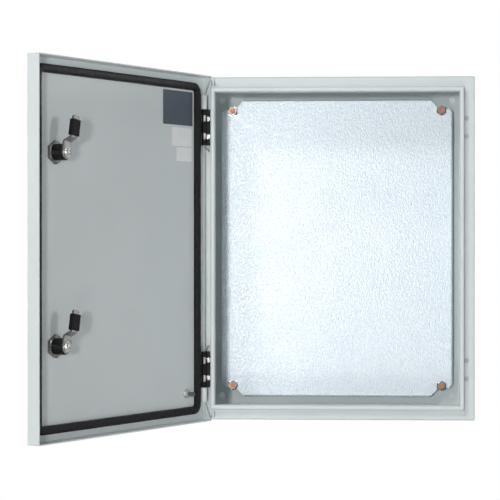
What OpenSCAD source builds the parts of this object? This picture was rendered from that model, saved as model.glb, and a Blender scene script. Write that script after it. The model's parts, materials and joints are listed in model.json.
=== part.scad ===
// Wall-mounted steel enclosure: welded body with a folded sealing rim, a hinged
// door with a foamed gasket, two quarter-turn cam locks, a galvanised mounting
// plate on welded studs and a gland plate in the floor.
// Origin: centre of the four wall holes on the outer face of the back wall.
// X runs to the right seen from the front, Y runs into the wall, Z is up.

/* [Enclosure] */
// Overall width
case_w = 400; // [320:5:600]
// Overall height
case_h = 500; // [400:5:800]
// Overall depth from the wall to the front of the closed door
case_d = 150; // [120:5:300]
// Thickness of the body and door sheet
sheet_t = 1.5; // [1:0.1:2]
// Outer radius of the folded edges
bend_r = 2.5; // [2.2:0.1:4]
// Radius of the ground weld seams along the body corners
seam_r = 1.5; // [0.5:0.1:2]

/* [Sealing rim] */
// Flat flange beside the lip, measured in from the body side
rim_side = 16; // [15:0.5:22]
// Flat flange above and below the lip
rim_end = 15.5; // [14:0.5:22]
// Width of the hemmed lip at the sides
lip_w_side = 6.5; // [5.5:0.5:9]
// Width of the hemmed lip at the top and bottom
lip_w_end = 7; // [5.5:0.5:9]
// How far the lip stands in front of the flange
lip_rise = 12.5; // [8:0.5:12.8]
// How far the inner leg of the lip reaches behind the front of the flange
lip_leg = 5; // [2:0.5:8]
// Length of the slots for the tabs of the hinge-side lip
tab_slot_l = 9.5; // [4:0.5:11]
// Width of those slots
tab_slot_w = 1.2; // [0.8:0.1:2]

/* [Door] */
// Depth of the door's folded edge, panel included
door_edge = 20; // [20:0.5:28]
// Gap between the closed door's edge and the body flange
door_gap = 1; // [0.8:0.1:3]
// Angle at which the door stands open in the drawn pose
door_open = 120; // [0:5:120]
// Depth of the short edge on the hinge side, panel included
hinge_edge = 5; // [4:0.5:6]
// Depth of that edge at the top and bottom corners
hinge_edge_end = 14; // [8:0.5:14]
// Height over which the hinge edge narrows
hinge_edge_taper = 24; // [15:1:26]

/* [Gasket] */
// Width of the foamed bead
gasket_w = 12; // [10:0.5:14]
// Clearance between the closed bead and the lip
gasket_clear = 0.4; // [0.3:0.1:1]
// Shoulder radius of the bead
gasket_r = 3.2; // [2:0.1:4]
// Distance of the bead from the door's hinge edge
gasket_side = 13.1; // [12.5:0.1:16]
// Distance of the bead from the door's lock edge
gasket_free = 11.5; // [10:0.1:16]
// Distance of the bead from the door's top and bottom edges
gasket_end = 10; // [8:0.5:13]
// Outer corner radius of the bead
gasket_corner = 13.5; // [13:0.5:40]

/* [Wall holes] */
// Distance of the wall holes from the case edges
hole_inset = 25; // [20:1:30]
// Wall hole diameter
hole_d = 8.5; // [6:0.5:11]

/* [Mounting plate] */
// Gap between the case edge and the plate edge, seen from the front
plate_margin = 25; // [25:1:40]
// Plate thickness
plate_t = 2; // [1.5:0.5:3]
// Depth of the plate's backward folds
plate_fold = 12; // [6:1:16]
// Front face of the plate, measured from the wall
plate_y = 22; // [20:1:40]
// Distance of the studs from the plate edges
stud_inset = 17.5; // [15:0.5:22]
// Stud diameter
stud_d = 8; // [6:1:10]
// Corner cut measured along the plate's side edges
corner_cut_side = 20.5; // [16:0.5:24]
// Outer diameter of the spacer sleeves
spacer_d = 14; // [12:1:18]
// Across-flats size of the plate nuts
plate_nut_af = 13; // [10:1:17]
// Height of the plate nuts
plate_nut_h = 6.5; // [4:0.5:8]
// Diameter of the plate washers
plate_washer_d = 15; // [14:1:22]
// Thickness of the plate washers
plate_washer_t = 1.6; // [1:0.2:2]

/* [Hinges] */
// Distance of the hinge axis from the side of the case
axis_side = 7.5; // [7.5:0.5:8]
// Distance of the hinge axis from the closed door's front
axis_front = 8; // [8:0.5:9]
// Distance from the case end to the middle of a hinge block
hinge_from_end = 74; // [64:1:100]
// Height of a hinge block
block_h = 52; // [44:1:60]
// Diameter of the block's barrel
barrel_d = 8; // [7:0.5:9]
// Height of the door knuckle
knuckle_h = 20; // [14:1:22]
// Outer diameter of the door knuckle
knuckle_d = 7.6; // [7:0.2:9]
// Hinge pin diameter
pin_d = 4.8; // [3:0.2:5]
// Radial clearance of the pin in its bores
pin_clear = 0.05; // [0.02:0.01:0.1]
// Distance between the two screws of a hinge
hinge_screw_pitch = 26; // [24:1:30]
// Distance of the hinge screws from the side of the case
hinge_screw_side = 12.2; // [12:0.1:12.6]
// Diameter of the hinge screws
hinge_screw_d = 4; // [3:0.5:5]

/* [Locks] */
// Distance of the lock axis from the door's free edge
lock_inset = 54; // [50:1:62]
// Vertical distance between the two locks
lock_pitch = 252; // [180:2:400]
// Diameter of the threaded lock housing
lock_d = 21.6; // [18:0.2:22]
// Radial clearance of the housing in the door
lock_clear = 0.3; // [0.1:0.1:0.5]
// Height of the housing above the inner face of the door
lock_h = 18; // [16:0.5:19]
// Diameter of the housing's front flange
lock_flange_d = 28; // [26:1:34]
// Thickness of the front flange
lock_flange_t = 3.5; // [2.5:0.5:5]
// Across-flats size of the lock nut
lock_nut_af = 27; // [26:1:32]
// Thickness of the lock nut
lock_nut_t = 5; // [3:0.5:7]
// Diameter of the turning insert
insert_d = 12; // [11:0.5:14]
// Side of the square that drives the cam
drive_sq = 8; // [6:0.5:8]
// Cam thickness
cam_t = 3; // [2:0.5:4]
// Cam width
cam_w = 16; // [14:0.5:18]
// Outward crank of the cam arm
cam_crank = 9.6; // [8:0.2:12]
// Distance from the lock axis to the cam tip
cam_len = 48; // [46:0.5:50]
// Distance from the lock axis to the start of the sleeve
sleeve_start = 21.5; // [20:0.5:23]
// Length of the plastic sleeve
sleeve_l = 21; // [16:0.5:22]
// Width of the plastic sleeve
sleeve_w = 15; // [12:0.5:17]
// Thickness of the plastic sleeve
sleeve_t = 7.8; // [6:0.2:8]
// Lean of the unlocked cam from upright, toward the hinge side
cam_lean = 10; // [0:1:20]

/* [Gland plate] */
// Width of the cut-out in the floor
gland_w = 250; // [150:5:280]
// Depth of the cut-out in the floor
gland_d = 70; // [40:2:70]
// Overlap of the gland plate round the cut-out
gland_lap = 14; // [12:1:16]
// Thickness of the gland plate's gasket
gland_gasket_t = 2; // [1:0.5:3]
// Diameter of the gland plate studs
gland_stud_d = 5; // [4:1:6]

/* [Earth stud] */
// Distance of the door's earth stud from the hinge-side edge
earth_side = 45; // [40:1:80]
// Distance of the door's earth stud from the bottom edge
earth_end = 41; // [38:1:80]
// Earth stud diameter
earth_d = 6; // [5:1:8]
// Earth stud length
earth_l = 14; // [10:1:18]

/* [Hidden] */
$fn = 48;

// Colours
paint = "#d9dcd8";
foam = "#1c1c1c";
zinc = "#c8ccd0";
galvanised = "#c3cedb";
copper = "#b5673d";
black_plastic = "#202022";

// Extra length of a cutting tool past the face it opens
over = 1;
// Seat clearance between loose parts of one assembly
seat = 0.1;
// Clearance between turning faces that aren't bearings
free = 0.3;

// Planes along Y, with the door closed
back_in = -sheet_t;
door_front = -case_d;
door_in = door_front + sheet_t;
edge_tip = door_front + door_edge;
flange_y = edge_tip + door_gap;
flange_back = flange_y + sheet_t;
lip_y = flange_y - lip_rise;
leg_end = flange_y + lip_leg;

// Lip outline
lip_out_w = case_w - 2 * rim_side;
lip_out_h = case_h - 2 * rim_end;
mouth_w = lip_out_w - 2 * lip_w_side;
mouth_h = lip_out_h - 2 * lip_w_end;

// Hinge line and heights
axis_x = -case_w / 2 + axis_side;
axis_y = door_front + axis_front;
block_mid = case_h / 2 - hinge_from_end;
block_low = block_mid - block_h / 2;
block_top = block_mid + block_h / 2;
knuckle_low = block_top + free;
knuckle_top = knuckle_low + knuckle_h;
bore_r = pin_d / 2 + pin_clear;
hinge_screw_x = case_w / 2 - hinge_screw_side;
foot_t = 1.5;
neck_from = 2;
neck_right = -case_w / 2 + rim_side - 0.9;
notch_from = -1.6;
notch_h = 9.4;
hinge_head_d = 7;
hinge_head_t = 2.4;
hinge_nut_af = 7;
hinge_nut_t = 3.2;
tail_d = 2.2;
tail_drop = 3;
tail_bend = 57;
tail_turn = 37;
tail_l = 9.5;

// Mounting plate
plate_w = case_w - 2 * plate_margin;
plate_h = case_h - 2 * plate_margin;
plate_back = -plate_y + plate_t;
stud_x = plate_w / 2 - stud_inset;
stud_z = plate_h / 2 - stud_inset;
stud_slot = stud_d + 1;
stud_neck = stud_d + 0.2;
washer_y = -plate_y - plate_washer_t;
nut_y = washer_y - plate_nut_h;
stud_tip = nut_y - 3.5;

// Gasket height, held clear of the lip when the door is closed
gasket_h = lip_y - door_in - gasket_clear;
// Shoulder radius, held inside the bead's height
bead_r = min(gasket_r, gasket_h / 2 - 0.05);

// Locks, measured up from the door's inner face along the lock axis
lock_x = case_w / 2 - lock_inset;
insert_head_d = lock_flange_d - 9;
insert_head_t = lock_flange_t + 1;
lock_seal_t = 0.8;
cam_base_r = cam_w / 2 + 1;
crank_from = 15;
crank_to = sleeve_start - 1.5;
arm_w = sleeve_w - 3;
cam_top = lock_h + cam_t;
arm_h = lock_h + cam_crank;
cam_washer_t = 1.2;
cam_washer_d = 13;
cam_screw_d = 11;
cam_screw_t = 3.6;
cam_thread_d = 5;
cam_thread_l = 9;

// Gland plate
gland_y = (flange_back + back_in) / 2;
floor_in = -case_h / 2 + sheet_t;
gland_low = floor_in + gland_gasket_t;
gland_top = gland_low + sheet_t;
gland_nut_t = 4;
gland_nut_af = 8;
gland_stud_top = gland_top + gland_nut_t + 1.2;
gland_stud_x = [-1.5, -0.5, 0.5, 1.5] * (gland_w + gland_lap) / 3;
gland_stud_y = (gland_d + gland_lap) / 2;

// Earth stud
earth_x = -case_w / 2 + earth_side;
earth_z = -case_h / 2 + earth_end;
earth_washer_t = 1.2;
earth_nut_t = 5;

// ---------- helpers ----------

// Turns its children from the closed position about the hinge axis
module on_door() {
    translate([axis_x, axis_y, 0])
        rotate([0, 0, -door_open])
            translate([-axis_x, -axis_y, 0])
                children();
}

// Puts its children on a lock axis: their +Z leaves the inner face, +Y is up
// and leans by the turn toward the hinge side
module on_lock(z, turn = 0) {
    on_door()
        translate([lock_x, door_in, z])
            rotate([0, 180, 0])
                rotate([-90, 0, 0])
                    rotate([0, 0, -turn])
                        children();
}

// Repeats its children at the four corners of a rectangle in X and Z
module at_corners(x, z) {
    for (sx = [-1, 1], sz = [-1, 1])
        translate([sx * x, 0, sz * z])
            children();
}

// Solid along Y from y0 to y1, on the circle of diameter d
module rod_y(d, y0, y1) {
    translate([0, y1, 0])
        rotate([90, 0, 0])
            cylinder(d = d, h = y1 - y0);
}

// The same with a hexagon of the given across-flats size, points up
module hex_y(af, y0, y1) {
    translate([0, y1, 0])
        rotate([90, 0, 0])
            rotate([0, 0, 30])
                cylinder(d = af / cos(30), h = y1 - y0, $fn = 6);
}

// Strip across [-half, half] that ends at y with two round corners, on side s of y
module round_end(half, y, r, s) {
    translate([-half + r, s > 0 ? y : y - r - 0.001])
        square([2 * (half - r), r + 0.001]);
    for (m = [-1, 1])
        translate([m * (half - r), y + s * r])
            circle(r = r);
}

// Rectangle across [-half, half] and from y0 to y1, its front corners rounded by rf
// and its back corners by rb; back corners of radius 0 are sharp
module edge_profile(half, y0, y1, rf, rb) {
    translate([-half, y0 + rf])
        square([2 * half, y1 - y0 - rf - rb]);
    round_end(half, y0, rf, 1);
    if (rb > 0)
        round_end(half, y1, rb, -1);
}

// Rectangle with round corners
module round_rect(w, h, r) {
    square([w - 2 * r, h], center = true);
    square([w, h - 2 * r], center = true);
    for (sx = [-1, 1], sy = [-1, 1])
        translate([sx * (w / 2 - r), sy * (h / 2 - r)])
            circle(r = r);
}

// Folded-sheet block: rounded front and back edges and rounded corner seams
module sheet_block(w, h, y0, y1, rf, rb, rc) {
    intersection() {
        linear_extrude(height = h, center = true)
            edge_profile(w / 2, y0, y1, rf, rb);
        rotate([0, 90, 0])
            linear_extrude(height = w, center = true)
                edge_profile(h / 2, y0, y1, rf, rb);
        translate([0, y1 + over, 0])
            rotate([90, 0, 0])
                linear_extrude(height = y1 - y0 + 2 * over)
                    round_rect(w, h, rc);
    }
}

// Plain rectangular opening or block along Y
module box_y(w, h, y0, y1) {
    translate([-w / 2, y0, -h / 2])
        cube([w, y1 - y0, h]);
}

// Opening profile that flares out to meet the plane y0 with radius r
module flare_profile(half, y0, y1, r) {
    translate([-half, y0 - over])
        square([2 * half, y1 - y0 + over]);
    difference() {
        translate([-half - r, y0 - over])
            square([2 * (half + r), r + over]);
        for (s = [-1, 1])
            translate([s * (half + r), y0 + r])
                circle(r = r);
    }
}

// Rectangular mouth through the lip with rounded front edges
module flared_mouth(w, h, y0, y1, r) {
    intersection() {
        linear_extrude(height = h + 2 * r, center = true)
            flare_profile(w / 2, y0, y1, r);
        rotate([0, 90, 0])
            linear_extrude(height = w + 2 * r, center = true)
                flare_profile(h / 2, y0, y1, r);
    }
}

// ---------- body ----------

// U-shaped hemmed lip round the door opening
module rim_lip() {
    difference() {
        sheet_block(lip_out_w, lip_out_h, lip_y, flange_back, bend_r, 0, seam_r);
        difference() {
            box_y(lip_out_w - 2 * sheet_t, lip_out_h - 2 * sheet_t,
                lip_y + sheet_t, flange_back + over);
            box_y(mouth_w + 2 * sheet_t, mouth_h + 2 * sheet_t,
                lip_y, flange_back + 2 * over);
        }
        flared_mouth(mouth_w, mouth_h, lip_y, flange_back + over, bend_r);
    }
    // rear part of the inner leg
    difference() {
        box_y(mouth_w + 2 * sheet_t, mouth_h + 2 * sheet_t, flange_back, leg_end);
        box_y(mouth_w, mouth_h, flange_back - over, leg_end + over);
    }
}

// Cut-outs in the front flange: hinge screw holes and the tab slots of the lip
module flange_cuts() {
    for (sx = [-1, 1], sz = [-1, 1], s = [-1, 1])
        translate([sx * hinge_screw_x, 0, sz * block_mid + s * hinge_screw_pitch / 2])
            rod_y(hinge_screw_d + 2 * seat, flange_y - over, flange_back + over);
    for (sz = [-1, 1], x = [lip_out_w / 2 - sheet_t, mouth_w / 2 + sheet_t / 2])
        translate([-x, flange_y + sheet_t / 2, sz * (case_h / 2 - rim_end / 2)])
            cube([tab_slot_w, 2 * sheet_t, tab_slot_l], center = true);
}

module body_shell() {
    color(paint) {
        difference() {
            sheet_block(case_w, case_h, flange_y, 0, bend_r, bend_r, seam_r);
            box_y(case_w - 2 * sheet_t, case_h - 2 * sheet_t, flange_back, back_in);
            box_y(lip_out_w - 2 * sheet_t, lip_out_h - 2 * sheet_t,
                flange_y - over, flange_back + over);
            at_corners(case_w / 2 - hole_inset, case_h / 2 - hole_inset)
                rod_y(hole_d, back_in - over, over);
            translate([-gland_w / 2, gland_y - gland_d / 2, -case_h / 2 - over])
                cube([gland_w, gland_d, sheet_t + 2 * over]);
            flange_cuts();
        }
        rim_lip();
    }
}

// Plugs for the unused hinge holes on the lock side
module hinge_hole_plugs() {
    color(paint)
        for (sz = [-1, 1], s = [-1, 1])
            translate([hinge_screw_x, 0, sz * block_mid + s * hinge_screw_pitch / 2]) {
                rod_y(hinge_screw_d, flange_y, flange_back + 1.5);
                rod_y(7.5, flange_y - 0.5, flange_y);
                rod_y(6.1, flange_y - 1, flange_y - 0.5);
            }
}

// ---------- gland plate ----------

// Repeats its children at the gland plate's studs
module at_gland_studs() {
    for (x = gland_stud_x, s = [-1, 1])
        translate([x, gland_y + s * gland_stud_y, 0])
            children();
}

module gland_sheet(z0, z1, hole) {
    difference() {
        translate([0, gland_y, z0])
            linear_extrude(height = z1 - z0)
                round_rect(gland_w + 2 * gland_lap, gland_d + 2 * gland_lap, 4);
        at_gland_studs()
            translate([0, 0, z0 - over])
                cylinder(d = gland_stud_d + 2 * hole, h = z1 - z0 + 2 * over);
    }
}

module gland_plate() {
    color(paint)
        gland_sheet(gland_low, gland_top, 0.25);
}

module gland_gasket() {
    color(foam)
        difference() {
            gland_sheet(floor_in, gland_low, 0.25);
            translate([-gland_w / 2, gland_y - gland_d / 2, floor_in - over])
                cube([gland_w, gland_d, gland_gasket_t + 2 * over]);
        }
}

module gland_studs() {
    color(zinc)
        at_gland_studs()
            translate([0, 0, floor_in])
                cylinder(d = gland_stud_d, h = gland_stud_top - floor_in);
}

module gland_nuts() {
    color(zinc)
        at_gland_studs()
            translate([0, 0, gland_top])
                difference() {
                    cylinder(d = gland_nut_af / cos(30), h = gland_nut_t, $fn = 6);
                    translate([0, 0, -over])
                        cylinder(d = gland_stud_d + 2 * seat, h = gland_nut_t + 2 * over);
                }
}

// ---------- mounting plate ----------

module plate_studs() {
    color(copper)
        at_corners(stud_x, stud_z) {
            rod_y(stud_d, stud_tip + 1, back_in);
            rod_y(stud_d - 1.6, stud_tip, stud_tip + 1);
        }
}

module plate_spacers() {
    color(zinc)
        at_corners(stud_x, stud_z)
            difference() {
                rod_y(spacer_d, plate_back, back_in);
                rod_y(stud_d + 2 * seat, plate_back - over, back_in + over);
            }
}

// One corner of the plate, cut from the corner at the origin into +X and +Z:
// a short cut on the side edge, a long one on the end edge, and a keyhole for the stud
module plate_corner_cut() {
    translate([0, over, 0])
        rotate([90, 0, 0])
            linear_extrude(height = plate_y + plate_fold + 2 * over) {
                polygon([
                    [-over, -over],
                    [-over, corner_cut_side + over],
                    [corner_cut_side + over, -over]
                ]);
                polygon([
                    [-over, -over],
                    [stud_inset, stud_inset],
                    [2 * stud_inset + over, -over]
                ]);
                translate([stud_inset, stud_inset]) {
                    circle(d = stud_slot);
                    rotate([0, 0, 45])
                        translate([-2 * stud_inset, -stud_neck / 2])
                            square([2 * stud_inset, stud_neck]);
                }
            }
}

module mounting_plate() {
    color(galvanised)
        difference() {
            sheet_block(plate_w, plate_h, -plate_y, -plate_y + plate_fold,
                plate_t + 1, 0, 0.5);
            sheet_block(plate_w - 2 * plate_t, plate_h - 2 * plate_t,
                plate_back, -plate_y + plate_fold + over, 1, 0, 0.5);
            for (mx = [0, 1], mz = [0, 1])
                mirror([mx, 0, 0])
                    mirror([0, 0, mz])
                        translate([-plate_w / 2, 0, -plate_h / 2])
                            plate_corner_cut();
        }
}

module plate_washers() {
    color(zinc)
        at_corners(stud_x, stud_z)
            difference() {
                rod_y(plate_washer_d, washer_y, -plate_y);
                rod_y(stud_d + 0.4, washer_y - over, -plate_y + over);
            }
}

// Nut blank with both faces chamfered by a cone, bored for its stud
module plate_nuts() {
    cone = 1.2;
    color(zinc)
        at_corners(stud_x, stud_z)
            difference() {
                intersection() {
                    hex_y(plate_nut_af, nut_y, washer_y);
                    union() {
                        rod_y(plate_nut_af / cos(30) + 1, nut_y + cone, washer_y);
                        translate([0, nut_y + cone, 0])
                            rotate([90, 0, 0])
                                cylinder(d1 = plate_nut_af / cos(30) + 1,
                                    d2 = plate_nut_af - 1.6, h = cone);
                    }
                }
                rod_y(stud_d + 2 * seat, nut_y - over, washer_y + over);
            }
}

// ---------- hinges ----------

// Barrel on the hinge line, a neck beside it and a thin foot on the flange;
// two windows over the screws open the neck and the barrel, down to the pin
module hinge_block() {
    difference() {
        union() {
            translate([axis_x, axis_y, block_low])
                cylinder(d = barrel_d, h = block_h);
            translate([axis_x + neck_from, axis_y, block_low])
                cube([neck_right - axis_x - neck_from, flange_y - axis_y, block_h]);
            translate([axis_x - 3.5, flange_y - foot_t, block_low])
                cube([neck_right - axis_x + 3.5, foot_t, block_h]);
        }
        translate([axis_x, axis_y, block_low - over])
            cylinder(r = bore_r, h = block_h + 2 * over);
        for (s = [-1, 1])
            translate([0, 0, block_mid + s * hinge_screw_pitch / 2]) {
                translate([axis_x + notch_from, axis_y - barrel_d / 2 - over, -notch_h / 2])
                    cube([rim_side, flange_y - foot_t - axis_y + barrel_d / 2 + over, notch_h]);
                translate([-hinge_screw_x, 0, 0])
                    rod_y(hinge_screw_d + 2 * seat, flange_y - foot_t - over, flange_y + over);
            }
    }
}

module hinge_block_upper() {
    color(black_plastic)
        hinge_block();
}

module hinge_block_lower() {
    color(black_plastic)
        mirror([0, 0, 1])
            hinge_block();
}

// Repeats its children at the four hinge screws
module at_hinge_screws() {
    for (sz = [-1, 1], s = [-1, 1])
        translate([-hinge_screw_x, 0, sz * block_mid + s * hinge_screw_pitch / 2])
            children();
}

module hinge_screws() {
    color(zinc)
        at_hinge_screws()
            difference() {
                union() {
                    rod_y(hinge_head_d, flange_y - foot_t - hinge_head_t, flange_y - foot_t);
                    rod_y(hinge_screw_d, flange_y - foot_t, flange_back + hinge_nut_t + 1);
                }
                translate([-0.6, flange_y - foot_t - hinge_head_t - over, -hinge_head_d])
                    cube([1.2, over + 1.2, 2 * hinge_head_d]);
            }
}

module hinge_nuts() {
    color(zinc)
        at_hinge_screws()
            difference() {
                hex_y(hinge_nut_af, flange_back, flange_back + hinge_nut_t);
                rod_y(hinge_screw_d + 2 * seat, flange_back - over,
                    flange_back + hinge_nut_t + over);
            }
}

// Pin with a chamfered top and a bent tail to pull it by
module hinge_pin() {
    translate([axis_x, axis_y, 0]) {
        translate([0, 0, block_low])
            cylinder(d = pin_d, h = knuckle_top - 1 - block_low);
        translate([0, 0, knuckle_top - 1])
            cylinder(d1 = pin_d, d2 = pin_d - 1.6, h = 1);
        translate([0, 0, block_low - tail_drop]) {
            cylinder(d = tail_d, h = tail_drop);
            sphere(d = tail_d + seat);
            rotate([0, 180 - tail_bend, tail_turn])
                cylinder(d = tail_d, h = tail_l);
        }
    }
}

module hinge_pin_upper() {
    color(zinc)
        hinge_pin();
}

module hinge_pin_lower() {
    color(zinc)
        mirror([0, 0, 1])
            hinge_pin();
}

// ---------- door ----------

// Part of the door's depth that is kept along the hinge side, seen from the side
module hinge_edge_cut() {
    reach = axis_side - 1;
    depth = door_edge - hinge_edge_end;
    half = case_h / 2;
    // short hinge edge between its tapered ends
    translate([-case_w / 2 - over, 0, 0])
        rotate([90, 0, 90])
            linear_extrude(height = over + sheet_t + 0.001)
                polygon([
                    [edge_tip + over, -half + sheet_t],
                    [door_front + hinge_edge_end, -half + sheet_t],
                    [door_front + hinge_edge, -half + sheet_t + hinge_edge_taper],
                    [door_front + hinge_edge, half - sheet_t - hinge_edge_taper],
                    [door_front + hinge_edge_end, half - sheet_t],
                    [edge_tip + over, half - sheet_t]
                ]);
    // corners of the top and bottom edges that swing past the flange
    linear_extrude(height = case_h + 2 * over, center = true)
        polygon([
            [-case_w / 2 - over, door_front + hinge_edge_end - over * depth / reach],
            [-case_w / 2 - over, edge_tip + over],
            [-case_w / 2 + reach + over * reach / depth, edge_tip + over]
        ]);
}

module door_panel() {
    color(paint)
        on_door()
            difference() {
                sheet_block(case_w, case_h, door_front, edge_tip, bend_r, 0, seam_r);
                sheet_block(case_w - 2 * sheet_t, case_h - 2 * sheet_t,
                    door_in, edge_tip + over, bend_r - sheet_t, 0, 0.5);
                hinge_edge_cut();
                for (s = [-1, 1])
                    translate([lock_x, 0, s * lock_pitch / 2])
                        rod_y(lock_d + 2 * lock_clear, door_front - over, door_in + over);
            }
}

// Cross-section of the foamed bead, standing on the panel
module bead_profile() {
    translate([-gasket_w / 2, 0])
        square([gasket_w, gasket_h - bead_r]);
    translate([-gasket_w / 2 + bead_r, 0])
        square([gasket_w - 2 * bead_r, gasket_h]);
    for (s = [-1, 1])
        translate([s * (gasket_w / 2 - bead_r), gasket_h - bead_r])
            circle(r = bead_r);
}

module door_gasket() {
    w = case_w - gasket_side - gasket_free;
    h = case_h - 2 * gasket_end;
    color(foam)
        on_door()
            translate([(gasket_side - gasket_free) / 2, door_in, 0])
                rotate([-90, 0, 0]) {
                    for (q = [0:3]) {
                        sx = q == 0 || q == 3 ? 1 : -1;
                        sy = q < 2 ? 1 : -1;
                        translate([sx * (w / 2 - gasket_corner), sy * (h / 2 - gasket_corner), 0])
                            rotate([0, 0, 90 * q])
                                rotate_extrude(angle = 90)
                                    translate([gasket_corner - gasket_w / 2, 0])
                                        bead_profile();
                    }
                    for (s = [-1, 1]) {
                        translate([0, s * (h - gasket_w) / 2, 0])
                            rotate([90, 0, 90])
                                linear_extrude(height = w - 2 * gasket_corner, center = true)
                                    bead_profile();
                        translate([s * (w - gasket_w) / 2, 0, 0])
                            rotate([90, 0, 0])
                                linear_extrude(height = h - 2 * gasket_corner, center = true)
                                    bead_profile();
                    }
                }
}

// Welded tube that the pin runs in, with its web on the panel
module door_knuckle() {
    on_door()
        difference() {
            union() {
                translate([axis_x, axis_y, knuckle_low])
                    cylinder(d = knuckle_d, h = knuckle_h);
                translate([axis_x - knuckle_d / 2, door_in, knuckle_low])
                    cube([knuckle_d, axis_y - door_in, knuckle_h]);
            }
            translate([axis_x, axis_y, knuckle_low - over])
                cylinder(r = bore_r, h = knuckle_h + 2 * over);
        }
}

module door_knuckle_upper() {
    color(paint)
        door_knuckle();
}

module door_knuckle_lower() {
    color(paint)
        mirror([0, 0, 1])
            door_knuckle();
}

module earth_stud() {
    color(copper)
        on_door()
            translate([earth_x, 0, earth_z])
                rod_y(earth_d, door_in, door_in + earth_l);
}

module earth_washer() {
    color(zinc)
        on_door()
            translate([earth_x, 0, earth_z])
                difference() {
                    rod_y(2.3 * earth_d, door_in, door_in + earth_washer_t);
                    rod_y(earth_d + 0.4, door_in - over, door_in + earth_washer_t + over);
                }
}

module earth_nut() {
    low = door_in + earth_washer_t;
    color(zinc)
        on_door()
            translate([earth_x, 0, earth_z])
                difference() {
                    hex_y(earth_d + 4, low, low + earth_nut_t);
                    rod_y(earth_d + 2 * seat, low - over, low + earth_nut_t + over);
                }
}

// ---------- locks ----------

// Flat seal under the flange of each lock
module lock_seals() {
    color(black_plastic)
        for (s = [-1, 1])
            on_lock(s * lock_pitch / 2)
                translate([0, 0, -sheet_t - lock_seal_t])
                    difference() {
                        cylinder(d = lock_flange_d - 1, h = lock_seal_t);
                        translate([0, 0, -over])
                            cylinder(d = lock_d + 2 * seat, h = lock_seal_t + 2 * over);
                    }
}

// Threaded tube with its front flange, bored for the turning insert
module lock_housing() {
    low = -sheet_t - lock_seal_t;
    difference() {
        union() {
            translate([0, 0, low])
                cylinder(d = lock_d, h = lock_h - low);
            translate([0, 0, low - lock_flange_t + 1])
                cylinder(d = lock_flange_d, h = lock_flange_t - 1);
            translate([0, 0, low - lock_flange_t])
                cylinder(d1 = lock_flange_d - 2, d2 = lock_flange_d, h = 1);
        }
        translate([0, 0, low - lock_flange_t - over])
            cylinder(d = insert_head_d + 2 * free, h = insert_head_t + over + free);
        translate([0, 0, low - lock_flange_t])
            cylinder(d = insert_d + 2 * pin_clear, h = lock_h - low + lock_flange_t + over);
    }
}

module lock_housing_upper() {
    color(black_plastic)
        on_lock(lock_pitch / 2)
            lock_housing();
}

module lock_housing_lower() {
    color(black_plastic)
        on_lock(-lock_pitch / 2)
            lock_housing();
}

// Hexagon nut with its outer corners turned off
module lock_nut() {
    cone = 1.2;
    across = lock_nut_af / cos(30);
    difference() {
        intersection() {
            rotate([0, 0, 30])
                cylinder(d = across, h = lock_nut_t, $fn = 6);
            union() {
                cylinder(d = across + 1, h = lock_nut_t - cone);
                translate([0, 0, lock_nut_t - cone])
                    cylinder(d1 = across + 1, d2 = lock_nut_af - 0.6, h = cone);
            }
        }
        translate([0, 0, -over])
            cylinder(d = lock_d + 2 * seat, h = lock_nut_t + 2 * over);
    }
}

module lock_nut_upper() {
    color(zinc)
        on_lock(lock_pitch / 2)
            lock_nut();
}

module lock_nut_lower() {
    color(zinc)
        on_lock(-lock_pitch / 2)
            lock_nut();
}

// Turning insert: key socket in its head, journal through the housing and a
// square end for the cam
module lock_insert() {
    low = -sheet_t - lock_seal_t - lock_flange_t;
    socket = 8;
    difference() {
        union() {
            translate([0, 0, low])
                cylinder(d = insert_head_d, h = insert_head_t);
            translate([0, 0, low + 1])
                cylinder(d = insert_d, h = lock_h - low - 1);
            translate([-drive_sq / 2, -drive_sq / 2, lock_h])
                cube([drive_sq, drive_sq, cam_t]);
        }
        difference() {
            union() {
                translate([0, 0, low - over])
                    cylinder(d = 6.4, h = socket + over);
                translate([-4.8, -1.5, low - over])
                    cube([9.6, 3, socket + over]);
            }
            translate([0, 0, low - over])
                cylinder(d = 3, h = socket + over);
        }
        translate([0, 0, cam_top - cam_thread_l])
            cylinder(d = cam_thread_d + 2 * seat, h = cam_thread_l + over);
    }
}

module lock_insert_upper() {
    color(zinc)
        on_lock(lock_pitch / 2, cam_lean)
            lock_insert();
}

module lock_insert_lower() {
    color(zinc)
        on_lock(-lock_pitch / 2, cam_lean)
            lock_insert();
}

// Cranked cam, pressed from strip: its side view crossed with its front view
module cam() {
    difference() {
        intersection() {
            rotate([90, 0, 90])
                linear_extrude(height = 2 * cam_base_r + 2, center = true)
                    polygon([
                        [-cam_base_r - 1, lock_h],
                        [crank_from, lock_h],
                        [crank_to, arm_h],
                        [cam_len + 1, arm_h],
                        [cam_len + 1, arm_h + cam_t],
                        [crank_to - 1, arm_h + cam_t],
                        [crank_from - 1, cam_top],
                        [-cam_base_r - 1, cam_top]
                    ]);
            translate([0, 0, lock_h - over])
                linear_extrude(height = cam_crank + cam_t + 2 * over) {
                    circle(r = cam_base_r);
                    polygon([
                        [-cam_base_r, 0],
                        [cam_base_r, 0],
                        [arm_w / 2, crank_to],
                        [arm_w / 2, cam_len - 2],
                        [arm_w / 2 - 2, cam_len],
                        [-arm_w / 2 + 2, cam_len],
                        [-arm_w / 2, cam_len - 2],
                        [-arm_w / 2, crank_to]
                    ]);
                }
        }
        translate([-drive_sq / 2 - seat, -drive_sq / 2 - seat, lock_h - over])
            cube([drive_sq + 2 * seat, drive_sq + 2 * seat, cam_t + 2 * over]);
    }
}

module cam_upper() {
    color(zinc)
        on_lock(lock_pitch / 2, cam_lean)
            cam();
}

module cam_lower() {
    color(zinc)
        on_lock(-lock_pitch / 2, cam_lean)
            cam();
}

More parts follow.
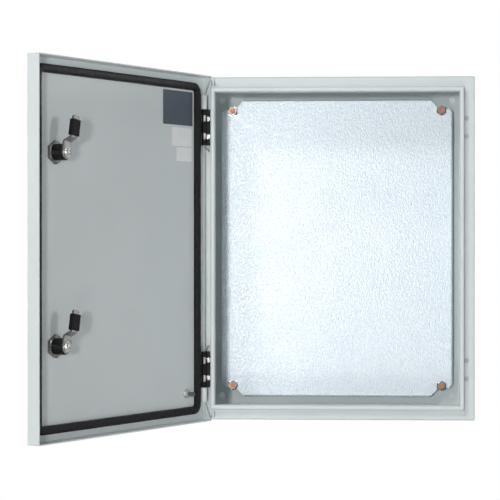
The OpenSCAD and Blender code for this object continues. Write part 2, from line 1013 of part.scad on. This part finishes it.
// Plastic sleeve that slides behind the rim, pushed over the cam arm
module cam_sleeve() {
    r = 1.5;
    mid = arm_h + cam_t / 2;
    difference() {
        translate([0, sleeve_start + sleeve_l, mid])
            rotate([90, 0, 0])
                linear_extrude(height = sleeve_l)
                    round_rect(sleeve_w, sleeve_t, r);
        translate([-arm_w / 2 - seat, sleeve_start - over, arm_h - seat])
            cube([arm_w + 2 * seat, sleeve_l + 2 * over, cam_t + 2 * seat]);
    }
}

module cam_sleeve_upper() {
    color(black_plastic)
        on_lock(lock_pitch / 2, cam_lean)
            cam_sleeve();
}

module cam_sleeve_lower() {
    color(black_plastic)
        on_lock(-lock_pitch / 2, cam_lean)
            cam_sleeve();
}

module cam_washer() {
    translate([0, 0, cam_top])
        difference() {
            cylinder(d = cam_washer_d, h = cam_washer_t);
            translate([0, 0, -over])
                cylinder(d = cam_thread_d + 2 * seat, h = cam_washer_t + 2 * over);
        }
}

module cam_washer_upper() {
    color(zinc)
        on_lock(lock_pitch / 2, cam_lean)
            cam_washer();
}

module cam_washer_lower() {
    color(zinc)
        on_lock(-lock_pitch / 2, cam_lean)
            cam_washer();
}

// Round-headed screw with a cross recess
module cam_screw() {
    low = cam_top + cam_washer_t;
    dome_r = (pow(cam_screw_d / 2, 2) + pow(cam_screw_t, 2)) / (2 * cam_screw_t);
    difference() {
        union() {
            translate([0, 0, low - cam_thread_l + 1])
                cylinder(d = cam_thread_d, h = cam_thread_l - 1 + 0.5);
            intersection() {
                translate([0, 0, low + cam_screw_t - dome_r])
                    sphere(r = dome_r);
                translate([0, 0, low])
                    cylinder(d = cam_screw_d, h = cam_screw_t);
            }
        }
        for (a = [0, 90])
            rotate([0, 0, a + 20])
                translate([-2.8, -0.55, low + cam_screw_t - 1.8])
                    cube([5.6, 1.1, 3]);
    }
}

module cam_screw_upper() {
    color(zinc)
        on_lock(lock_pitch / 2, cam_lean)
            cam_screw();
}

module cam_screw_lower() {
    color(zinc)
        on_lock(-lock_pitch / 2, cam_lean)
            cam_screw();
}

body_shell();
hinge_hole_plugs();
gland_plate();
gland_gasket();
gland_studs();
gland_nuts();
plate_studs();
plate_spacers();
mounting_plate();
plate_washers();
plate_nuts();
hinge_block_upper();
hinge_block_lower();
hinge_screws();
hinge_nuts();
hinge_pin_upper();
hinge_pin_lower();
door_panel();
door_gasket();
door_knuckle_upper();
door_knuckle_lower();
earth_stud();
earth_washer();
earth_nut();
lock_seals();
lock_housing_upper();
lock_housing_lower();
lock_nut_upper();
lock_nut_lower();
lock_insert_upper();
lock_insert_lower();
cam_upper();
cam_lower();
cam_sleeve_upper();
cam_sleeve_lower();
cam_washer_upper();
cam_washer_lower();
cam_screw_upper();
cam_screw_lower();
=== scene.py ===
import json
import math

import bmesh
import bpy
from mathutils import Matrix, Vector, noise


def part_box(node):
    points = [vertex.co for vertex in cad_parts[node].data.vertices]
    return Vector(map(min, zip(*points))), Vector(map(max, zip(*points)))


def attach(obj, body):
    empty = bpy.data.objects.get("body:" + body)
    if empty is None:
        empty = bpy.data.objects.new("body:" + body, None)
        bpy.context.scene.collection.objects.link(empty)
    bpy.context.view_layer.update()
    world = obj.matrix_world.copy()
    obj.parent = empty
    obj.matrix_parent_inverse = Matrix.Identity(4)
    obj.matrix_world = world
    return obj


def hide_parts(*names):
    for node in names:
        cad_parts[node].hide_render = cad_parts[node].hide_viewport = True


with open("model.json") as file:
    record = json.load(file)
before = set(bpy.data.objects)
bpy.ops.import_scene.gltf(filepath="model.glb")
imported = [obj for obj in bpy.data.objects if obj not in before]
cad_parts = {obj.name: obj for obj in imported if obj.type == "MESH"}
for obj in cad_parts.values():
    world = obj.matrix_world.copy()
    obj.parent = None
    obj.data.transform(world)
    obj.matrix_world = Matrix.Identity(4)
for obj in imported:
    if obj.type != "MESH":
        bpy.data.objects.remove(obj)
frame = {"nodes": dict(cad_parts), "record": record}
nodes = frame["nodes"]
scene = bpy.context.scene
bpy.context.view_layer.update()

# ---------------------------------------------------------------- door's place

record = frame["record"]
swing = [j for j in record["behaviour"]["joints"] if j["name"] == "door_swing"][0]
HINGE = Vector(swing["pos_m"])
OPEN = math.radians(swing["range_deg"][1])
# Carries what is laid out on the closed door to where the open door is
TO_OPEN = Matrix.Translation(HINGE) @ Matrix.Rotation(-OPEN, 4, "Z") @ Matrix.Translation(-HINGE)
OPEN_TURN = OPEN - math.pi / 2


def closed_box(name):
    """Lowest and highest corner of a door node with the door closed, to the micrometre."""
    back = TO_OPEN.inverted()
    spots = [back @ v.co for v in nodes[name].data.vertices]
    return [Vector([round(edge(c), 6) for c in zip(*spots)]) for edge in (min, max)]


BEAD_LO, BEAD_HI = closed_box("door_gasket")
DOOR_IN = BEAD_LO.y
HINGE_EDGE = closed_box("door_panel")[0].x

# ---------------------------------------------------------------- node helpers


class Shader:
    """One Principled material, built up from procedural nodes."""

    def __init__(self, name, rough=0.5, metallic=0.0):
        self.mat = bpy.data.materials.new(name)
        self.mat.use_nodes = True
        self.tree = self.mat.node_tree
        self.bsdf = self.tree.nodes["Principled BSDF"]
        self.bsdf.inputs["Roughness"].default_value = rough
        self.bsdf.inputs["Metallic"].default_value = metallic
        self.coord = self.node("ShaderNodeTexCoord").outputs["Object"]

    def node(self, kind, **settings):
        made = self.tree.nodes.new(kind)
        for key, value in settings.items():
            setattr(made, key, value)
        return made

    def link(self, a, b):
        self.tree.links.new(a, b)

    def noise(self, scale, detail=2.0, rough=0.5, stretch=(1, 1, 1), turn=(0, 0, 0)):
        """Noise over the object's own coordinates, scale in cycles per metre."""
        place = self.node("ShaderNodeMapping")
        place.inputs["Scale"].default_value = stretch
        place.inputs["Rotation"].default_value = turn
        self.link(self.coord, place.inputs["Vector"])
        tex = self.node("ShaderNodeTexNoise")
        tex.inputs["Scale"].default_value = scale
        tex.inputs["Detail"].default_value = detail
        tex.inputs["Roughness"].default_value = rough
        self.link(place.outputs["Vector"], tex.inputs["Vector"])
        return tex.outputs["Fac"]

    def spread(self, value, low, high, src=(0.3, 0.7)):
        """Value mapped from src to [low, high]."""
        made = self.node("ShaderNodeMapRange")
        made.inputs["From Min"].default_value = src[0]
        made.inputs["From Max"].default_value = src[1]
        made.inputs["To Min"].default_value = low
        made.inputs["To Max"].default_value = high
        self.link(value, made.inputs["Value"])
        return made.outputs["Result"]

    def mix(self, share, a, b):
        """Mix of colours or colour sockets, by a socket or one fixed share of the second."""
        made = self.node("ShaderNodeMix", data_type="RGBA")
        if isinstance(share, bpy.types.NodeSocket):
            self.link(share, made.inputs["Factor"])
        else:
            made.inputs["Factor"].default_value = share
        for key, value in (("A", a), ("B", b)):
            socket = [s for s in made.inputs if s.name == key and s.type == "RGBA"][0]
            if isinstance(value, bpy.types.NodeSocket):
                self.link(value, socket)
            else:
                socket.default_value = (*value, 1.0)
        return [s for s in made.outputs if s.type == "RGBA"][0]

    def colour(self, socket):
        self.link(socket, self.bsdf.inputs["Base Color"])

    def rough(self, socket):
        self.link(socket, self.bsdf.inputs["Roughness"])

    def bump(self, height, strength, distance, under=None):
        made = self.node("ShaderNodeBump")
        made.inputs["Strength"].default_value = strength
        made.inputs["Distance"].default_value = distance
        self.link(height, made.inputs["Height"])
        if under is not None:
            self.link(under, made.inputs["Normal"])
        self.link(made.outputs["Normal"], self.bsdf.inputs["Normal"])
        return made.outputs["Normal"]


def powder_coat(name, colour):
    """Fine orange peel with a very slight cloudiness."""
    s = Shader(name, rough=0.42)
    cloud = s.noise(9, 3)
    pale = tuple(min(1.0, c * 1.02) for c in colour)
    deep = tuple(c * 0.975 for c in colour)
    s.colour(s.mix(s.spread(cloud, 0, 1), deep, pale))
    s.rough(s.spread(s.noise(160, 2), 0.38, 0.47))
    peel = s.bump(s.noise(430, 2, 0.55), 0.16, 0.00025)
    s.bump(s.noise(1900, 1), 0.08, 0.0001, peel)
    return s.mat


def foam(name):
    """Skinned polyurethane foam: black, faintly glossy, pitted."""
    s = Shader(name, rough=0.4)
    s.bsdf.inputs["Specular IOR Level"].default_value = 0.16
    deep, pale = (0.0065, 0.0065, 0.007), (0.014, 0.014, 0.015)
    s.colour(s.mix(s.spread(s.noise(300, 3), 0, 1), deep, pale))
    s.rough(s.spread(s.noise(220, 2), 0.3, 0.55))
    skin = s.bump(s.noise(330, 2, 0.6), 0.8, 0.0009)
    s.bump(s.noise(900, 2), 0.3, 0.00015, skin)
    return s.mat


def rubber(name):
    """Matt black rubber."""
    s = Shader(name, rough=0.6)
    deep, pale = (0.012, 0.012, 0.012), (0.022, 0.022, 0.023)
    s.colour(s.mix(s.spread(s.noise(200, 2), 0, 1), deep, pale))
    s.rough(s.spread(s.noise(150, 2), 0.5, 0.7))
    s.bump(s.noise(700, 2), 0.2, 0.00012)
    return s.mat


def galvanised(name):
    """Hot-dip zinc: blue-white, with fine crystals in short slanting flecks."""
    s = Shader(name, rough=0.45, metallic=0.4)
    slant = (0, math.radians(-40), 0)
    fleck = s.noise(560, 1, 0.5, stretch=(1, 1, 0.6), turn=slant)
    crystal = s.noise(1200, 1, 0.5)
    cloudy = s.noise(18, 3, 0.5)
    dark, bright = (0.52, 0.60, 0.67), (0.88, 0.94, 0.97)
    fine = s.mix(s.spread(fleck, 0, 1, (0.4, 0.6)), dark, bright)
    speck = s.mix(s.spread(crystal, 0, 1, (0.38, 0.62)), dark, bright)
    flecks = s.mix(0.4, fine, speck)
    broad = s.mix(s.spread(cloudy, 0, 1), (0.76, 0.83, 0.88), (0.85, 0.91, 0.95))
    s.colour(s.mix(0.35, flecks, broad))
    s.rough(s.spread(fleck, 0.36, 0.54))
    ripple = s.bump(fleck, 0.7, 0.0005)
    s.bump(crystal, 0.5, 0.0002, ripple)
    return s.mat


def plated(name, dark, pale, rough=(0.22, 0.36), grain=(1, 1, 1)):
    """Bright plating over machined or pressed metal."""
    s = Shader(name, rough=rough[0], metallic=1.0)
    s.colour(s.mix(s.spread(s.noise(130, 3), 0, 1), dark, pale))
    s.rough(s.spread(s.noise(260, 3, stretch=grain), rough[0], rough[1]))
    s.bump(s.noise(900, 2, stretch=grain), 0.12, 0.0001)
    return s.mat


def thread_bump(s, axis, pitch, turn):
    """Screw thread flanks as a saw of bumps along an axis, turned about Z."""
    place = s.node("ShaderNodeMapping")
    place.inputs["Rotation"].default_value = (0, 0, turn)
    s.link(s.coord, place.inputs["Vector"])
    wave = s.node("ShaderNodeTexWave", wave_type="BANDS", bands_direction=axis, wave_profile="TRI")
    wave.inputs["Scale"].default_value = math.pi / (10 * pitch)
    wave.inputs["Distortion"].default_value = 0
    s.link(place.outputs["Vector"], wave.inputs["Vector"])
    s.bump(wave.outputs["Fac"], 1.0, pitch * 0.3)


def threaded(name, dark, pale, axis, pitch, rough, metallic=1.0, turn=0.0, shine=0.5):
    """A threaded surface, plated or moulded."""
    s = Shader(name, rough=rough[0], metallic=metallic)
    s.bsdf.inputs["Specular IOR Level"].default_value = shine
    s.colour(s.mix(s.spread(s.noise(220, 3), 0, 1), dark, pale))
    s.rough(s.spread(s.noise(300, 2), rough[0], rough[1]))
    thread_bump(s, axis, pitch, turn)
    return s.mat


def plastic(name, colour, rough=(0.38, 0.55)):
    """Moulded glass-filled polyamide with a fine spark-eroded surface."""
    s = Shader(name, rough=rough[0])
    s.bsdf.inputs["Specular IOR Level"].default_value = 0.12
    deep = tuple(c * 0.75 for c in colour)
    s.colour(s.mix(s.spread(s.noise(120, 3), 0, 1), deep, colour))
    s.rough(s.spread(s.noise(400, 2), rough[0], rough[1]))
    s.bump(s.noise(1500, 2), 0.25, 0.00008)
    return s.mat


def paper(name, colour, rough=0.45):
    """Smooth film label stock."""
    s = Shader(name, rough=rough)
    deep = tuple(c * 0.95 for c in colour)
    s.colour(s.mix(s.spread(s.noise(60, 2), 0, 1), deep, colour))
    s.bump(s.noise(500, 2), 0.05, 0.00005)
    return s.mat


PAINT = (0.675, 0.73, 0.735)
STUD_PITCH = 0.00125
LOCK_PITCH = 0.0015
paint_body = powder_coat("powder_coat_body", PAINT)
paint_door = powder_coat("powder_coat_door", PAINT)
foam_mat = foam("gasket_foam")
rubber_mat = rubber("seal_rubber")
galva = galvanised("galvanised_sheet")
zinc = plated("zinc_plated", (0.56, 0.57, 0.57), (0.74, 0.74, 0.72))
zinc_pin = plated("zinc_pin", (0.26, 0.26, 0.26), (0.44, 0.44, 0.43), rough=(0.34, 0.5))
zinc_dull = plated("zinc_dull", (0.16, 0.16, 0.16), (0.30, 0.30, 0.29), rough=(0.28, 0.42))
zinc_cam = plated("zinc_cam", (0.22, 0.22, 0.22), (0.42, 0.42, 0.41), rough=(0.25, 0.4),
                  grain=(1, 1, 0.2))
diecast = plated("zinc_diecast", (0.40, 0.40, 0.41), (0.50, 0.50, 0.51), rough=(0.35, 0.5))
copper = threaded("copper_thread_y", (0.30, 0.13, 0.07), (0.50, 0.24, 0.14), "Y", STUD_PITCH,
                  rough=(0.42, 0.55))
black = plastic("black_polyamide", (0.010, 0.010, 0.011))
lock_black = threaded("lock_black", (0.006, 0.006, 0.007), (0.010, 0.010, 0.011), "X",
                      LOCK_PITCH, rough=(0.3, 0.45), metallic=0.0, turn=OPEN_TURN, shine=0.16)

slot_mat = {
    "body_paint": paint_body, "door_paint": paint_door, "gasket_foam": foam_mat,
    "seal_rubber": rubber_mat, "galvanised_sheet": galva, "zinc_plated": zinc,
    "zinc_diecast": diecast, "copper_plated": copper, "black_plastic": black,
    "lock_black": lock_black,
}
plug = plastic("plug_grey", (0.58, 0.62, 0.63), rough=(0.3, 0.4))
own_mat = {
    "hinge_hole_plugs": plug, "plate_nuts": zinc_dull,
    "cam_upper": zinc_cam, "cam_lower": zinc_cam,
    "hinge_pin_upper": zinc_pin, "hinge_pin_lower": zinc_pin, "hinge_screws": zinc_pin,
    "lock_nut_upper": zinc_dull, "lock_nut_lower": zinc_dull,
    "hinge_nuts": zinc_dull, "gland_nuts": zinc_dull, "earth_stud": zinc_dull,
}

for part in record["subparts"]:
    obj = nodes[part["node"]]
    mat = own_mat.get(part["node"], slot_mat[part["material_slot"]])
    obj.data.materials.clear()
    obj.data.materials.append(mat)

# ---------------------------------------------------------------- door pieces


def piece(name, verts, faces, mat, body, smooth=True):
    """A mesh piece laid out on the closed door, put on the open one."""
    mesh = bpy.data.meshes.new(name)
    mesh.from_pydata([TO_OPEN @ Vector(v) for v in verts], [], faces)
    bm = bmesh.new()
    bm.from_mesh(mesh)
    bmesh.ops.recalc_face_normals(bm, faces=bm.faces)
    bm.to_mesh(mesh)
    bm.free()
    mesh.polygons.foreach_set("use_smooth", [smooth] * len(mesh.polygons))
    mesh.materials.append(mat)
    obj = bpy.data.objects.new(name, mesh)
    scene.collection.objects.link(obj)
    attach(obj, body)
    return obj


# ---------------------------------------------------------------- foamed gasket


def rounded_path(x0, x1, z0, z1, r, step):
    """Points and outward directions round a rectangle with corners of radius r."""
    out = []
    corners = [(x1 - r, z1 - r, 0), (x0 + r, z1 - r, 90),
               (x0 + r, z0 + r, 180), (x1 - r, z0 + r, 270)]
    for i, (cx, cz, start) in enumerate(corners):
        for k in range(9):
            a = math.radians(start + 90 * k / 8)
            out.append((Vector((cx + r * math.cos(a), cz + r * math.sin(a))),
                        Vector((math.cos(a), math.sin(a)))))
        nx, nz, nstart = corners[(i + 1) % 4]
        a = math.radians(nstart)
        way = Vector((math.cos(a), math.sin(a)))
        here = out[-1][0]
        there = Vector((nx, nz)) + way * r
        count = max(2, round((there - here).length / step))
        out += [(here.lerp(there, k / count), way) for k in range(1, count)]
    return out


def gasket():
    """Foamed-in-place bead: a swept skin with a wavy edge and one start and stop lump."""
    half = 0.006                                # half the CAD bead's width
    height = BEAD_HI.y - BEAD_LO.y - 0.00005    # a hair inside the CAD bead
    corner, step, ring = 0.0095, 0.0035, 18
    path = rounded_path(BEAD_LO.x + half, BEAD_HI.x - half,
                        BEAD_LO.z + half, BEAD_HI.z - half, corner, step)
    lump_at = Vector((-0.1, BEAD_LO.z + half))
    lump_size = 0.006
    verts = []
    for at, way in path:
        wave = noise.noise(Vector((at.x * 38, at.y * 38, 0.3)))
        ripple = noise.noise(Vector((at.x * 160, at.y * 160, 4.1)))
        near = math.exp(-((at - lump_at).length / lump_size) ** 2)
        side = half * (0.965 + 0.022 * wave + 0.008 * ripple)
        crown = height * (0.955 + 0.025 * wave + 0.008 * ripple + 0.02 * near)
        shift = 0.00016 * noise.noise(Vector((at.x * 24, at.y * 24, 9.7)))
        for k in range(ring):
            t = math.pi * k / (ring - 1)
            u = math.copysign(abs(math.cos(t)) ** 0.62, math.cos(t)) * side + shift
            v = abs(math.sin(t)) ** 0.55 * crown
            spot = at + way * u
            verts.append((spot.x, DOOR_IN + v, spot.y))
    n = len(path)
    faces = [((i % n) * ring + k, ((i + 1) % n) * ring + k,
              ((i + 1) % n) * ring + k + 1, (i % n) * ring + k + 1)
             for i in range(n) for k in range(ring - 1)]
    # the flat underside that sticks to the door
    faces += [((i + 1) % n * ring, i * ring, i * ring + ring - 1,
               (i + 1) % n * ring + ring - 1) for i in range(n)]
    return piece("gasket_bead", verts, faces, foam_mat, "door")


bead = gasket()
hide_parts("door_gasket")

# ---------------------------------------------------------------- blank labels


def label(name, x0, x1, z0, z1, mat):
    """Thin rounded film on the door's inner face; x counts from the hinge edge."""
    back, front, corner, step = 0.00002, 0.00018, 0.0015, 0.05
    rim = rounded_path(HINGE_EDGE + x0, HINGE_EDGE + x1, z0, z1, corner, step)
    n = len(rim)
    verts = [(p.x, DOOR_IN + off, p.y) for off in (back, front) for p, _ in rim]
    faces = [tuple(range(n)), tuple(range(n, 2 * n))]
    faces += [(i, (i + 1) % n, n + (i + 1) % n, n + i) for i in range(n)]
    piece(name, verts, faces, mat, "door", smooth=False)


slate_film = paper("label_slate", (0.075, 0.095, 0.125))
label("door_label_dark", 0.0285, 0.102, 0.1766, 0.2255, slate_film)
white_film = paper("label_white", (0.92, 0.94, 0.94))
label("door_label_upper", 0.0307, 0.080, 0.1467, 0.173, white_film)
label("door_label_lower", 0.0307, 0.0688, 0.125, 0.145, white_film)

# ---------------------------------------------------------------- stage


class Stage:
    """A pale matt surface that is seen from its front only."""

    def __init__(self, name):
        self.mat = bpy.data.materials.new(name)
        self.mat.use_nodes = True
        self.tree = self.mat.node_tree
        bsdf = self.tree.nodes["Principled BSDF"]
        bsdf.inputs["Base Color"].default_value = (0.86, 0.86, 0.86, 1)
        bsdf.inputs["Roughness"].default_value = 0.9
        self.surface = bsdf.outputs["BSDF"]
        self.camera = self.node("ShaderNodeLightPath").outputs["Is Camera Ray"]
        self.away = self.node("ShaderNodeNewGeometry").outputs["Backfacing"]

    def node(self, kind, *inputs, **settings):
        """A node with its inputs linked, or set where a number is given."""
        made = self.tree.nodes.new(kind)
        for key, value in settings.items():
            setattr(made, key, value)
        for socket, value in zip(made.inputs, inputs):
            if isinstance(value, bpy.types.NodeSocket):
                self.tree.links.new(value, socket)
            else:
                socket.default_value = value
        return made

    def done(self):
        clear = self.node("ShaderNodeBsdfTransparent").outputs["BSDF"]
        pick = self.node("ShaderNodeMixShader", self.away, self.surface, clear)
        self.tree.links.new(pick.outputs["Shader"],
                            self.tree.nodes["Material Output"].inputs["Surface"])
        return self.mat


def floor_material():
    """Pale floor: lifted toward white for the camera only, and clear from below."""
    stage = Stage("stage_floor")
    glow = stage.node("ShaderNodeEmission", (0.62, 0.62, 0.62, 1), stage.camera)
    both = stage.node("ShaderNodeAddShader", stage.surface, glow.outputs["Emission"])
    stage.surface = both.outputs["Shader"]
    return stage.done()


def wall_material():
    """Pale wall close behind the case: for the camera only, so that it shades nothing."""
    stage = Stage("stage_wall")
    unseen = stage.node("ShaderNodeMath", 1.0, stage.camera, operation="SUBTRACT")
    away = stage.node("ShaderNodeMath", unseen.outputs["Value"], stage.away, operation="MAXIMUM")
    stage.away = away.outputs["Value"]
    return stage.done()


FLOOR_Z = -1.3
WALL_INSET = 0.01
WALL_GAP = 0.0015

bpy.ops.mesh.primitive_circle_add(vertices=96, radius=6, fill_type="NGON",
                                  location=(0, 0, FLOOR_Z))
floor = bpy.context.object
floor.name = "stage_floor"
floor.data.materials.append(floor_material())


wall_mesh = bpy.data.meshes.new("stage_wall")
shell_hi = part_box("body_shell")[1]
wx = shell_hi.x - WALL_INSET
wz = shell_hi.z - WALL_INSET
wall_mesh.from_pydata([(-wx, WALL_GAP, -wz), (wx, WALL_GAP, -wz),
                       (wx, WALL_GAP, wz), (-wx, WALL_GAP, wz)], [], [(0, 1, 2, 3)])
wall_mesh.materials.append(wall_material())
wall = bpy.data.objects.new("stage_wall", wall_mesh)
scene.collection.objects.link(wall)

# ---------------------------------------------------------------- world

world = bpy.data.worlds.new("studio")
scene.world = world
world.use_nodes = True
sky = world.node_tree
sky.nodes.clear()


def background(strength):
    made = sky.nodes.new("ShaderNodeBackground")
    made.inputs["Color"].default_value = (1, 1, 1, 1)
    made.inputs["Strength"].default_value = strength
    return made


def either(fac, a, b):
    """The second shader where fac is 1."""
    made = sky.nodes.new("ShaderNodeMixShader")
    for socket, value in zip(made.inputs, (fac, a.outputs[0], b.outputs[0])):
        sky.links.new(value, socket)
    return made


SOFT, WHITE = 0.03, 1.0
soft = background(SOFT)
white = background(WHITE)
# what metal reflects: the white sweep behind the object, the dim room before it
room = background(WHITE)
heading = sky.nodes.new("ShaderNodeTexCoord")
axes = sky.nodes.new("ShaderNodeSeparateXYZ")
depth = sky.nodes.new("ShaderNodeMapRange")
for key, value in (("From Min", -0.75), ("From Max", 0.1), ("To Min", 0.12), ("To Max", WHITE)):
    depth.inputs[key].default_value = value
sky.links.new(heading.outputs["Generated"], axes.inputs["Vector"])
sky.links.new(axes.outputs["Y"], depth.inputs["Value"])
sky.links.new(depth.outputs["Result"], room.inputs["Strength"])
ray = sky.nodes.new("ShaderNodeLightPath")
shiny = sky.nodes.new("ShaderNodeMath")
shiny.operation = "MAXIMUM"
sky.links.new(ray.outputs["Is Glossy Ray"], shiny.inputs[0])
sky.links.new(ray.outputs["Is Transmission Ray"], shiny.inputs[1])
lit = either(shiny.outputs[0], soft, room)
shown = either(ray.outputs["Is Camera Ray"], lit, white)
end = sky.nodes.new("ShaderNodeOutputWorld")
sky.links.new(shown.outputs[0], end.inputs["Surface"])

# ---------------------------------------------------------------- lamps


def area(name, place, target, size, power):
    """Round lamp of a diameter in metres and a power in watts."""
    data = bpy.data.lights.new(name, "AREA")
    data.shape = "DISK"
    data.size = size
    data.energy = power
    obj = bpy.data.objects.new(name, data)
    scene.collection.objects.link(obj)
    obj.location = place
    obj.rotation_euler = (Vector(target) - Vector(place)).to_track_quat("-Z", "Y").to_euler()


CASE = (0, 0, 0)
DOOR = (-0.3, -0.3, 0)
area("key", (-0.617, -4.0, 0.15), CASE, 0.3, 46)
area("upper_left", (-1.6, -3.0, 2.2), CASE, 0.8, 43)
area("top", (-0.5, -1.5, 2.4), (0, 0, -0.1), 0.7, 7.5)
area("left", (-3.4, -2.2, 0.6), CASE, 1.0, 12.5)
area("right", (3.2, -1.6, 0.3), DOOR, 0.8, 24)
area("low_front", (-0.5, -3.0, -1.1), CASE, 0.8, 8)
area("back_left", (-2.2, 3.0, 1.4), CASE, 0.8, 40)
area("back_right", (2.4, 2.6, 0.8), CASE, 0.8, 18)

# ---------------------------------------------------------------- camera

cam_data = bpy.data.cameras.new("camera")
cam = bpy.data.objects.new("camera", cam_data)
scene.collection.objects.link(cam)
cam.location = (-0.00474, -2.79404, 0.00991)
cam.rotation_euler = (math.radians(90 - 0.262), 0, math.radians(2.619))
cam_data.sensor_width = 36
cam_data.lens = 131.64
cam_data.clip_start = 0.1
cam_data.clip_end = 50
scene.camera = cam
scene.view_settings.view_transform = "Standard"
